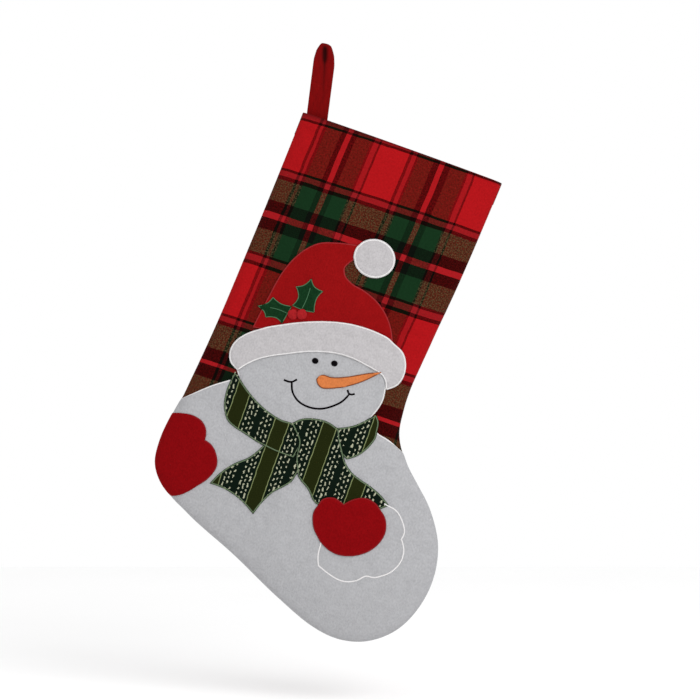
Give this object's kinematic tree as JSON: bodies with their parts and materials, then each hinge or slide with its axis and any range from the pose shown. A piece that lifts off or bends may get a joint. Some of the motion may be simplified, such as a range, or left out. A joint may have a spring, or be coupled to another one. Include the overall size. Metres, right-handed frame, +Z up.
{
  "type": "christmas stocking",
  "caption": "Padded Christmas stocking in tartan cloth with a felt snowman sewn on its front, hung tilted from a ribbon loop at the mouth's corner.",
  "frame": {"origin": "inside top of the ribbon loop, where the hook bears", "axes": "+Z up as the stocking hangs, -Y towards the snowman's side, +X towards the toe"},
  "size_m": [0.3248, 0.0425, 0.5637],
  "materials": {
    "ribbon": "woven, folded lengthwise",
    "ribbon_thread": "polyester thread",
    "tartan": "red, green and black tartan weave",
    "wadding": "soft polyester wadding",
    "lining": "plain off-white lining cloth",
    "snow_felt": "brushed white felt",
    "hat_felt": "red felt",
    "scarf_cloth": "dark green woven stripes",
    "mitten_felt": "dark red felt",
    "white_stitches": "white satin stitch",
    "holly_felt": "green felt",
    "berry_felt": "red satin stitch",
    "black_thread": "black satin stitch",
    "carrot_felt": "orange felt with a darker stitched edge"
  },
  "bodies": {
    "hook_bight": {"loop_bight": "ribbon"},
    "loop": {"loop_legs": "ribbon"},
    "stocking": {"loop_tail": "ribbon", "loop_bartack": "ribbon_thread", "front_panel": "tartan", "front_wadding": "wadding", "front_lining": "lining", "front_hem_facing": "tartan", "back_panel": "tartan", "back_wadding": "wadding", "back_lining": "lining", "back_hem_facing": "tartan", "snowman_body": "snow_felt", "face": "snow_felt", "hat_pompom": "snow_felt", "hat_brim": "snow_felt", "hat_crown": "hat_felt", "scarf_tail_left": "scarf_cloth", "scarf_collar_left": "scarf_cloth", "scarf_collar_right": "scarf_cloth", "scarf_knot_tail": "scarf_cloth", "mitten_left": "mitten_felt", "mitten_right": "mitten_felt", "snowball_stitching": "white_stitches", "holly_leaf_upper": "holly_felt", "holly_leaf_side": "holly_felt", "holly_berry_left": "berry_felt", "holly_berry_right": "berry_felt", "eye_left": "black_thread", "eye_right": "black_thread", "carrot_nose": "carrot_felt", "smile": "black_thread"}
  },
  "joints": [
    {"name": "side_swing", "type": "hinge", "parent": "hook_bight", "child": "loop", "pos_m": [0, 0, 0], "axis": [0, 1, 0], "range_deg": [-30, 30]},
    {"name": "loop_fold", "type": "hinge", "parent": "loop", "child": "stocking", "pos_m": [-0.00845, 0, -0.06547], "axis": [0.9418, 0, -0.3361], "range_deg": [-80, 80]}
  ]
}
